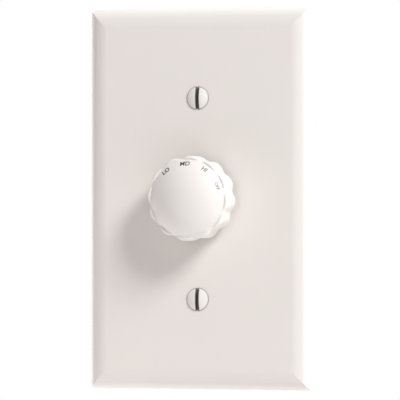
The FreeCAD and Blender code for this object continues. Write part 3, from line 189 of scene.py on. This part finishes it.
class Finish:
    """A surface on one shader, whose patterns are laid out in millimetres of the part's own frame."""

    def __init__(self, name, colour, roughness, metallic=0.0):
        self.material = bpy.data.materials.new(name)
        self.material.use_nodes = True
        self.tree = self.material.node_tree
        self.shader = self.tree.nodes["Principled BSDF"]
        self.colour = colour
        self.shader.inputs["Base Color"].default_value = (*colour, 1.0)
        self.shader.inputs["Roughness"].default_value = roughness
        self.shader.inputs["Metallic"].default_value = metallic
        place = self.tree.nodes.new("ShaderNodeTexCoord")
        self.scaled = self.tree.nodes.new("ShaderNodeMapping")
        self.scaled.inputs["Scale"].default_value = (1 / MM, 1 / MM, 1 / MM)
        self.tree.links.new(place.outputs["Object"], self.scaled.inputs["Vector"])
        self.normal = None

    def link(self, source, target):
        self.tree.links.new(source, target)

    def add(self, kind, **settings):
        made = self.tree.nodes.new(f"ShaderNode{kind}")
        for name, value in settings.items():
            setattr(made, name, value)
        return made

    def axis(self, name):
        """One of the part's coordinates in millimetres."""
        axes = self.add("SeparateXYZ")
        self.link(self.scaled.outputs["Vector"], axes.inputs["Vector"])
        return axes.outputs[name]

    def stretched(self, stretch):
        """The part's coordinates in millimetres, divided along each axis by stretch."""
        mapping = self.add("Mapping")
        mapping.inputs["Scale"].default_value = tuple(1 / s for s in stretch)
        self.link(self.scaled.outputs["Vector"], mapping.inputs["Vector"])
        return mapping.outputs["Vector"]

    def noise(self, size, detail=3.0, stretch=(1, 1, 1)):
        made = self.add("TexNoise")
        made.inputs["Scale"].default_value = 1 / size
        made.inputs["Detail"].default_value = detail
        self.link(self.stretched(stretch), made.inputs["Vector"])
        return made.outputs["Fac"]

    def cells(self, size, feature="F1", output="Distance"):
        made = self.add("TexVoronoi", feature=feature)
        made.inputs["Scale"].default_value = 1 / size
        self.link(self.scaled.outputs["Vector"], made.inputs["Vector"])
        return made.outputs[output]

    def ramp(self, source, low, high, start=0.0, end=1.0):
        made = self.add("MapRange")
        made.inputs["From Min"].default_value = start
        made.inputs["From Max"].default_value = end
        made.inputs["To Min"].default_value = low
        made.inputs["To Max"].default_value = high
        self.link(source, made.inputs["Value"])
        return made.outputs["Result"]

    def blend_colours(self, source, first, second):
        made = self.add("ValToRGB")
        made.color_ramp.elements[0].color = (*first, 1.0)
        made.color_ramp.elements[1].color = (*second, 1.0)
        self.link(source, made.inputs["Fac"])
        return made.outputs["Color"]

    def mottle(self, source, first, second):
        """Base colours that drift between two tints of the plain colour."""
        tinted = [tuple(c * t for c, t in zip(self.colour, tint)) for tint in (first, second)]
        self.link(self.blend_colours(source, *tinted), self.shader.inputs["Base Color"])
        return self

    def overlay(self, mask, colour):
        """Another colour over the base colours, as far as the mask lets it through."""
        mixed = self.add("Mix", data_type="RGBA")
        mixed.inputs["B"].default_value = (*colour, 1.0)
        self.link(mask, mixed.inputs["Factor"])
        self.link(self.shader.inputs["Base Color"].links[0].from_socket, mixed.inputs["A"])
        self.link(mixed.outputs["Result"], self.shader.inputs["Base Color"])
        return self

    def rough(self, source, low, high):
        self.link(self.ramp(source, low, high), self.shader.inputs["Roughness"])
        return self

    def bump(self, source, depth):
        """Relief of a depth in micrometres, on top of any relief before it."""
        made = self.add("Bump")
        made.inputs["Distance"].default_value = depth * MICRON * MM
        self.link(source, made.inputs["Height"])
        if self.normal:
            self.link(self.normal, made.inputs["Normal"])
        self.normal = made.outputs["Normal"]
        self.link(self.normal, self.shader.inputs["Normal"])
        return self


def moulded(name, colour, roughness, grain=0.6, depth=2.5, tint=(1.0, 1.0, 1.0), pale=(1.0, 1.0, 1.0)):
    """Moulded plastic: a faint drift of tint and a fine orange-peel skin."""
    made = Finish(name, colour, roughness)
    made.mottle(made.noise(DRIFT, DRIFT_DETAIL), tint, pale)
    made.rough(made.noise(SHEEN), roughness - SHEEN_RANGE, roughness + SHEEN_RANGE)
    return made.bump(made.noise(grain), depth)


def flecked(finish, size, reach, colour):
    """Small flecks of another colour, one in each cell of that size."""
    return finish.overlay(finish.ramp(finish.cells(size), 1.0, 0.0, 0.0, reach), colour)


def shade_slot(finish, half_width, floor_height, painted_shade):
    """Paints shade into an upright slot on the middle line: what lies in it, down to a height, takes a dark
    colour.
    """
    inside = finish.add("Math", operation="COMPARE")
    inside.inputs[1].default_value = 0.0
    inside.inputs[2].default_value = half_width
    finish.link(finish.axis("X"), inside.inputs[0])
    above = finish.add("Math", operation="LESS_THAN")
    above.inputs[1].default_value = -floor_height
    finish.link(finish.axis("Y"), above.inputs[0])
    both = finish.add("Math", operation="MULTIPLY")
    finish.link(inside.outputs["Value"], both.inputs[0])
    finish.link(above.outputs["Value"], both.inputs[1])
    return finish.overlay(both.outputs["Value"], painted_shade)


def shade_rims(finish, centre, radius, width, painted_shade):
    """Paints shade on the rims of two heads, one above and one below the middle: a dark ring where each
    head meets its seat.
    """
    folded = finish.add("VectorMath", operation="ABSOLUTE")
    finish.link(finish.scaled.outputs["Vector"], folded.inputs[0])
    flat = finish.add("VectorMath", operation="MULTIPLY")
    flat.inputs[1].default_value = (1.0, 0.0, 1.0)
    finish.link(folded.outputs["Vector"], flat.inputs[0])
    reach = finish.add("VectorMath", operation="DISTANCE")
    reach.inputs[1].default_value = (0.0, 0.0, centre)
    finish.link(flat.outputs["Vector"], reach.inputs[0])
    return finish.overlay(finish.ramp(reach.outputs["Value"], 0.0, 1.0, radius - width, radius), painted_shade)


def plated(name, colour, roughness, grain=0.35, depth=3.0, stretch=(1, 1, 1), cool=(0.86, 0.86, 0.87),
           warm=(1.06, 1.06, 1.05)):
    """Plated metal with a drawn or tumbled grain, between a cool and a warm tint."""
    made = Finish(name, colour, roughness, metallic=1.0)
    made.mottle(made.noise(PATINA, PLATED_DETAIL, stretch), cool, warm)
    polish = made.noise(POLISH, PLATED_DETAIL, stretch)
    made.rough(polish, roughness - PLATED_SMOOTHER, roughness + PLATED_ROUGHER)
    return made.bump(made.noise(grain, GRAIN_DETAIL, stretch), depth)


def grey(level):
    """A tint that lightens or darkens all colours alike."""
    return (level, level, level)


KNOB_WHITE = (0.875, 0.853, 0.825)
INK = moulded("ink", (0.03, 0.029, 0.029), 0.7, grain=0.15, depth=4.0, tint=grey(0.8), pale=grey(1.2))
# Painted highlight: the ink pales into the knob's white towards the right, where the key light washes it
# out
INK.overlay(INK.ramp(INK.axis("X"), 0.0, INK_HIGHLIGHT_SHARE, INK_HIGHLIGHT_FROM, INK_HIGHLIGHT_TO), KNOB_WHITE)
ENAMEL = moulded("screw_paint", (0.88, 0.85, 0.82), 0.4, grain=0.25, depth=2.0, tint=grey(0.97))
FIBRE = moulded("fibre", (0.34, 0.20, 0.125), 0.75, grain=0.3, depth=12.0, tint=grey(0.75), pale=grey(1.2))
PHENOLIC = moulded("housing_plastic", (0.05, 0.048, 0.05), 0.42, grain=0.5, depth=9.0, tint=grey(0.75),
                   pale=(1.35, 1.3, 1.25))
LAMINATE = moulded("board", (0.50, 0.36, 0.18), 0.55, grain=0.4, depth=6.0, tint=grey(0.85), pale=grey(1.1))
BROWN = moulded("rotor_plastic", (0.22, 0.12, 0.07), 0.45, tint=grey(0.8), pale=grey(1.2))
FINISHES = {
    "plate_plastic": moulded("plate_plastic", (0.857, 0.829, 0.797), 0.55, tint=grey(0.985),
                             pale=grey(1.01)),
    "knob_plastic": moulded("knob_plastic", KNOB_WHITE, 0.5, depth=1.5, tint=(0.99, 0.99, 0.985),
                            pale=grey(1.01)),
    # The plate screws take painted shade in the crevice round their heads and in their slots
    "screw_paint": shade_slot(shade_rims(ENAMEL, PLATE_SCREW_Z, PLATE_SCREW_HEAD, RIM_SHADE_WIDTH, RIM_SHADE_COLOUR),
                           SLOT / 2 + EDGE_BREAK, PLATE_SCREW_SLOT_FLOOR - EDGE_BREAK, SLOT_SHADE_COLOUR),
    "zinc_steel": plated("zinc_steel", (0.66, 0.67, 0.68), 0.36, stretch=(1, 1, 14),
                         cool=(0.88, 0.91, 0.97), warm=(1.10, 1.06, 0.97)),
    "spring_steel": plated("spring_steel", (0.42, 0.43, 0.46), 0.33, cool=(0.8, 0.84, 0.95)),
    "fibre": flecked(FIBRE, size=0.7, reach=0.3, colour=(0.45, 0.30, 0.19)),
    "housing_plastic": flecked(PHENOLIC, size=1.1, reach=0.22, colour=(0.14, 0.13, 0.12)),
    "rivet_metal": plated("rivet_metal", (0.78, 0.79, 0.80), 0.34),
    "ground_green": plated("ground_green", (0.08, 0.38, 0.17), 0.34, cool=(0.7, 0.8, 0.8),
                           warm=(1.3, 1.12, 1.0)),
    "brass": plated("brass", (0.80, 0.60, 0.29), 0.28, stretch=(1, 6, 1), cool=(0.78, 0.74, 0.66)),
    "board": flecked(LAMINATE, size=0.8, reach=0.3, colour=(0.58, 0.44, 0.25)),
    "capacitor_film": moulded("capacitor_film", (0.68, 0.55, 0.16), 0.4, tint=(0.9, 0.88, 0.8),
                              pale=grey(1.05)),
    "resistor_body": moulded("resistor_body", (0.66, 0.54, 0.36), 0.4, tint=(0.92, 0.9, 0.86),
                             pale=grey(1.05)),
    "rotor_plastic": flecked(BROWN, size=0.9, reach=0.25, colour=(0.33, 0.2, 0.12)),
}


def dress_nodes():
    """Each solid keeps its shape and takes the finish of its slot."""
    for node in nodes.values():
        for slot in node.material_slots:
            slot.material = FINISHES[slot.material.name.split(".")[0]].material


def as_object(name, shape, unit=1.0):
    """A new object in the scene from a bmesh whose lengths are in that unit."""
    bmesh.ops.scale(shape, vec=(unit, unit, unit), verts=shape.verts)
    mesh = bpy.data.meshes.new(name)
    shape.to_mesh(mesh)
    shape.free()
    made = bpy.data.objects.new(name, mesh)
    bpy.context.scene.collection.objects.link(made)
    return made


def finished(made):
    """The object's mesh with its modifiers applied."""
    graph = bpy.context.evaluated_depsgraph_get()
    return bpy.data.meshes.new_from_object(made.evaluated_get(graph))


def new_piece(name, shape, finish, body):
    """A piece of the object from a bmesh in millimetres."""
    made = as_object(name, shape, MM)
    made.data.materials.clear()
    made.data.materials.append(finish.material)
    made.data.shade_smooth()
    made.data.set_sharp_from_angle(angle=math.radians(SHARP_ANGLE))
    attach(made, body)
    return made


# Knob
def dome_height(reach, radius, edge, top):
    """The height of a round dome at a distance from its axis."""
    rise = top - edge
    curve = (radius ** 2 + rise ** 2) / (2 * rise)
    return top - curve + math.sqrt(curve ** 2 - reach ** 2)


def reach_of(vert):
    """A vertex's distance from the knob's axis."""
    return math.hypot(vert.co.x, vert.co.z)


def raise_dome(shape):
    """Raises the knob's dome, and with it the wall of the crease, whose top stays on the lobes."""
    crease = set()
    for vert in shape.verts:
        reach = reach_of(vert)
        climb = (reach - DOME_RADIUS) / CREASE_WIDTH
        if climb > NEAR:
            if abs(vert.co.y + SUNK_EDGE + climb * (LOBE_FRONT - SUNK_EDGE)) < NEAR:
                crease.add(vert)
        elif abs(vert.co.y + dome_height(reach, DOME_RADIUS, SUNK_EDGE, DOME_TOP)) < NEAR:
            vert.co.y = -dome_height(reach, DOME_RADIUS, DOME_EDGE, DOME_TOP)
            crease.add(vert)
    wall = [vert for vert in crease if reach_of(vert) > DOME_RADIUS + NEAR]
    ridge = [vert for vert in wall if any(not crease.issuperset(face.verts) for face in vert.link_faces)]
    for vert in set(wall).difference(ridge):
        top = reach_of(min(ridge, key=lambda other: (other.co - vert.co).length))
        vert.co.y -= (DOME_EDGE - SUNK_EDGE) * (top - reach_of(vert)) / (top - DOME_RADIUS)


def soft_knob():
    """The knob with its dome raised to leave a shallow crease, in the place of its solid."""
    solid = nodes["knob"].data
    shape = bmesh.new()
    verts = [shape.verts.new(vert.co / MM) for vert in solid.vertices]
    for face in solid.polygons:
        shape.faces.new([verts[index] for index in face.vertices])
    bmesh.ops.remove_doubles(shape, verts=shape.verts, dist=MICRON)
    raise_dome(shape)
    made = new_piece("soft_knob", shape, FINISHES["knob_plastic"], "knob_and_shaft")
    made.modifiers.new("EvenShading", "WEIGHTED_NORMAL").keep_sharp = True
    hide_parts("knob")


# Words
def on_dome(angle, along, outward, lift):
    """The place of a point of a word, laid on the dome with the word's foot towards the middle."""
    polar = math.asin(WORD_RING / DOME_ROUND) + outward / DOME_ROUND
    turn = math.radians(angle) - along / WORD_RING
    lifted = DOME_ROUND + lift
    reach = lifted * math.sin(polar)
    return Vector((reach * math.cos(turn), -DOME_CENTRE - lifted * math.cos(polar), reach * math.sin(turn)))


def words():
    """Ink letters, thin closed solids that lie on the dome."""
    shape = bmesh.new()
    for text, angle, height in WORDS:
        outline = bpy.data.curves.new(text, "FONT")
        outline.body = text
        outline.align_x = "CENTER"
        outline.align_y = "CENTER"
        outline.size = height / CAPITAL_SHARE
        outline.offset = WORD_WEIGHT
        outline.extrude = INK_DEPTH
        holder = bpy.data.objects.new(text, outline)
        bpy.context.scene.collection.objects.link(holder)
        flat = finished(holder)
        letters = bmesh.new()
        letters.from_mesh(flat)
        bmesh.ops.remove_doubles(letters, verts=letters.verts, dist=MICRON)
        bmesh.ops.triangulate(letters, faces=letters.faces)
        bmesh.ops.subdivide_edges(letters, edges=letters.edges, cuts=WORD_CUTS, use_grid_fill=True)
        for vert in letters.verts:
            vert.co = on_dome(angle, *vert.co)
        letters.to_mesh(flat)
        letters.free()
        shape.from_mesh(flat)
        bpy.data.objects.remove(holder)
        bpy.data.meshes.remove(flat)
    new_piece("setting_words", shape, INK, "knob_and_shaft")


# Screws
def add_rings(shape, rings, place):
    """Joins rings of radii round the local Z axis, each with its height. A ring of one radius is a pole."""
    steps = max(len(radii) for radii, height in rings)
    turns = [2 * math.pi * step / steps for step in range(steps)]
    rows = []
    for radii, height in rings:
        verts = []
        for radius, turn in zip(radii, turns):
            spot = Vector((radius * math.cos(turn), radius * math.sin(turn), height))
            verts.append(shape.verts.new(place @ spot))
        rows.append(verts * (steps // len(verts)))
    for low, high in zip(rows, rows[1:]):
        for step in range(steps):
            after = (step + 1) % steps
            # The repeated vertex of a pole is taken once
            shape.faces.new(dict.fromkeys((low[step], low[after], high[after], high[step])))


def add_turned(shape, profile, place, steps=TURNED_STEPS):
    """Adds a profile of radius and height, turned about the local Z axis."""
    add_rings(shape, [([radius] * (steps if radius else 1), height) for radius, height in profile], place)


def thread_reach(radius, climb, turn):
    """The radius of a thread at a height above its tip and a step of its turn, chamfered near the tip."""
    share = (climb / PITCH - turn / THREAD_STEPS) % 1
    rise = min(max((CREST_AT - abs(share - CREST_AT)) / FLANK, 0), 1)
    return min(radius - THREAD_DEPTH * (1 - rise), radius - TIP_CHAMFER + climb)


def add_thread(shape, radius, low, high, place):
    """Adds a closed shank with a helical thread about the local Z axis."""
    rows = math.ceil((high - low) / PITCH * THREAD_ROWS)
    rings = [([0], low)]
    for row in range(rows + 1):
        climb = (high - low) * row / rows
        radii = [thread_reach(radius, climb, turn) for turn in range(THREAD_STEPS)]
        rings.append((radii, low + climb))
    rings.append(([0], high))
    add_rings(shape, rings, place)


def cut_slot(solid, low, high):
    """A closed shape in millimetres, less the box between two corners, with its edges broken."""
    whole = as_object("solid", solid)
    box = bmesh.new()
    size = Matrix.Diagonal((*(high - low), 1))
    bmesh.ops.create_cube(box, size=1, matrix=Matrix.Translation((low + high) / 2) @ size)
    tool = as_object("tool", box)
    slot = whole.modifiers.new("Slot", "BOOLEAN")
    slot.operation = "DIFFERENCE"
    slot.object = tool
    broken = whole.modifiers.new("BrokenEdges", "BEVEL")
    broken.width = EDGE_BREAK
    broken.segments = EDGE_SEGMENTS
    broken.limit_method = "ANGLE"
    broken.angle_limit = math.radians(SHARP_ANGLE)
    mesh = finished(whole)
    for used in (whole, tool):
        bpy.data.objects.remove(used)
    shape = bmesh.new()
    shape.from_mesh(mesh)
    bmesh.ops.dissolve_degenerate(shape, dist=MICRON, edges=shape.edges)
    bpy.data.meshes.remove(mesh)
    return shape


def cap(radius, edge, top):
    """The profile of a domed head from its edge to its middle."""
    reaches = [radius * (1 - step / CAP_STEPS) for step in range(CAP_STEPS + 1)]
    return [(reach, dome_height(reach, radius, edge, top)) for reach in reaches]


def join(parts):
    """One shape from several."""
    whole = bmesh.new()
    for part in parts:
        mesh = bpy.data.meshes.new("part")
        part.to_mesh(mesh)
        part.free()
        whole.from_mesh(mesh)
        bpy.data.meshes.remove(mesh)
    return whole


def plate_screw(z):
    """An oval-head screw with an upright slot."""
    place = Matrix.Translation((0, 0, z)) @ OUTWARD
    head = bmesh.new()
    cone = [(0, PLATE_SCREW_NECK), (THREAD_RADIUS, PLATE_SCREW_NECK), (PLATE_SCREW_HEAD, PLATE_FACE)]
    add_turned(head, cone + cap(PLATE_SCREW_HEAD, PLATE_SCREW_EDGE, PLATE_SCREW_TOP), place)
    low = Vector((-SLOT / 2, -2 * PLATE_SCREW_TOP, z - 2 * PLATE_SCREW_HEAD))
    high = Vector((SLOT / 2, -PLATE_SCREW_SLOT_FLOOR, z + 2 * PLATE_SCREW_HEAD))
    shank = bmesh.new()
    add_thread(shank, THREAD_RADIUS, PLATE_SCREW_TIP, PLATE_SCREW_NECK + SEAT, place)
    return join((cut_slot(head, low, high), shank))


def box_screw(z):
    """A round-head screw that a retainer grips by its neck, with a level slot."""
    place = Matrix.Translation((0, 0, z)) @ OUTWARD
    head = bmesh.new()
    seat = BOX_THREAD_TOP - SEAT
    neck = [(0, seat), (BOX_SCREW_NECK, seat), (BOX_SCREW_NECK, STRAP_FACE), (BOX_SCREW_HEAD, STRAP_FACE)]
    add_turned(head, neck + cap(BOX_SCREW_HEAD, BOX_SCREW_EDGE, BOX_SCREW_TOP), place)
    low = Vector((-2 * BOX_SCREW_HEAD, -2 * BOX_SCREW_TOP, z - SLOT / 2))
    high = Vector((2 * BOX_SCREW_HEAD, -BOX_SCREW_SLOT_FLOOR, z + SLOT / 2))
    shank = bmesh.new()
    add_thread(shank, THREAD_RADIUS, BOX_SCREW_TIP, BOX_THREAD_TOP, place)
    return join((cut_slot(head, low, high), shank))


def ground_screw():
    """A hexagon washer-head screw that points to the right."""
    place = Matrix.Translation((0, GROUND_DROP, GROUND_Z)) @ LEFTWARD
    head = bmesh.new()
    flange = [(0, GROUND_TAB), (GROUND_FLANGE, GROUND_TAB), (GROUND_FLANGE, GROUND_FLANGE_TOP),
              (0, GROUND_FLANGE_TOP)]
    add_turned(head, flange, place)
    hexagon = bmesh.new()
    seat = GROUND_TAB + SEAT
    sides = [(0, seat), (GROUND_HEX, seat), (GROUND_HEX, GROUND_HEX_TOP - GROUND_CHAMFER),
             (GROUND_HEX - 2 * GROUND_CHAMFER, GROUND_HEX_TOP), (0, GROUND_HEX_TOP)]
    add_turned(hexagon, sides, place, HEX_SIDES)
    low = Vector((-2 * GROUND_HEX_TOP, GROUND_DROP - SLOT / 2, GROUND_Z - 2 * GROUND_FLANGE))
    high = Vector((SLOT - GROUND_HEX_TOP, GROUND_DROP + SLOT / 2, GROUND_Z + 2 * GROUND_FLANGE))
    shank = bmesh.new()
    add_thread(shank, GROUND_THREAD, GROUND_TIP, seat, place)
    return join((head, cut_slot(hexagon, low, high), shank))


def screws():
    """Screws with cut threads, in the places of their plain solids."""
    for node, slot, shape in (
        ("plate_screws", "screw_paint", join((plate_screw(PLATE_SCREW_Z), plate_screw(-PLATE_SCREW_Z)))),
        ("box_screws", "zinc_steel", join((box_screw(BOX_SCREW_Z), box_screw(-BOX_SCREW_Z)))),
        ("ground_screw", "ground_green", ground_screw()),
    ):
        made = new_piece(f"threaded_{node}", shape, FINISHES[slot], "base")
        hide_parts(node)


# Room, light and camera
def floor():
    """A pale floor below the part."""
    shape = bmesh.new()
    drop = cad_box[0].z / MM - FLOOR_DROP
    bmesh.ops.create_circle(shape, cap_ends=True, radius=FLOOR_RADIUS, segments=FLOOR_SEGMENTS,
                            matrix=Matrix.Translation((0, 0, drop)))
    made = as_object("floor", shape, MM)
    paint = moulded("floor_paint", FLOOR_COLOUR, roughness=0.7, grain=4.0, depth=40.0)
    made.data.materials.append(paint.material)


def world():
    """A white room to look at, which lights the part with a softer and warmer light."""
    made = bpy.data.worlds.new("room")
    made.use_nodes = True
    tree = made.node_tree
    tree.nodes.clear()
    rays = tree.nodes.new("ShaderNodeLightPath")
    either = tree.nodes.new("ShaderNodeMixShader")
    out = tree.nodes.new("ShaderNodeOutputWorld")
    # The second and third sockets of the mixer, for its light and for what is seen of it
    for place, colour, strength in ((1, WARM, ROOM_LIGHT), (2, WHITE, ROOM_SEEN)):
        shade = tree.nodes.new("ShaderNodeBackground")
        shade.inputs["Color"].default_value = (*colour, 1.0)
        shade.inputs["Strength"].default_value = strength
        tree.links.new(shade.outputs["Background"], either.inputs[place])
    tree.links.new(rays.outputs["Is Camera Ray"], either.inputs["Fac"])
    tree.links.new(either.outputs["Shader"], out.inputs["Surface"])
    bpy.context.scene.world = made


def lamp(name, direction, distance, size, power, colour):
    """A square soft light that faces the part from a direction."""
    data = bpy.data.lights.new(name, "AREA")
    data.energy = power
    data.size = size * MM
    data.color = colour
    made = bpy.data.objects.new(name, data)
    towards = Vector(direction).normalized()
    made.location = towards * distance * MM
    made.rotation_mode = "QUATERNION"
    made.rotation_quaternion = towards.to_track_quat("Z", "Y")
    made.visible_camera = False
    bpy.context.scene.collection.objects.link(made)


def camera():
    """The photo's view of the part."""
    data = bpy.data.cameras.new("camera")
    data.lens = FOCAL_PIXELS / PICTURE * SENSOR
    data.sensor_width = SENSOR
    data.clip_start = CLIP_NEAR * MM
    data.clip_end = CLIP_FAR * MM
    made = bpy.data.objects.new("camera", data)
    across, up = math.radians(AZIMUTH), math.radians(ELEVATION)
    back = Vector((math.sin(across) * math.cos(up), -math.cos(across) * math.cos(up), math.sin(up)))
    turn = (-back).to_track_quat("-Z", "Y") @ Matrix.Rotation(math.radians(ROLL), 3, "Z").to_quaternion()
    pixel = DISTANCE / FOCAL_PIXELS
    aside = turn @ Vector((-ORIGIN_RIGHT_PIXELS * pixel, -ORIGIN_UP_PIXELS * pixel, 0))
    made.location = (back * DISTANCE + aside) * MM
    made.rotation_mode = "QUATERNION"
    made.rotation_quaternion = turn
    bpy.context.scene.collection.objects.link(made)
    bpy.context.scene.camera = made


dress_nodes()
soft_knob()
words()
screws()
floor()
world()
for name, settings in LAMPS.items():
    lamp(name, *settings)
camera()
bpy.context.scene.view_settings.view_transform = "Standard"
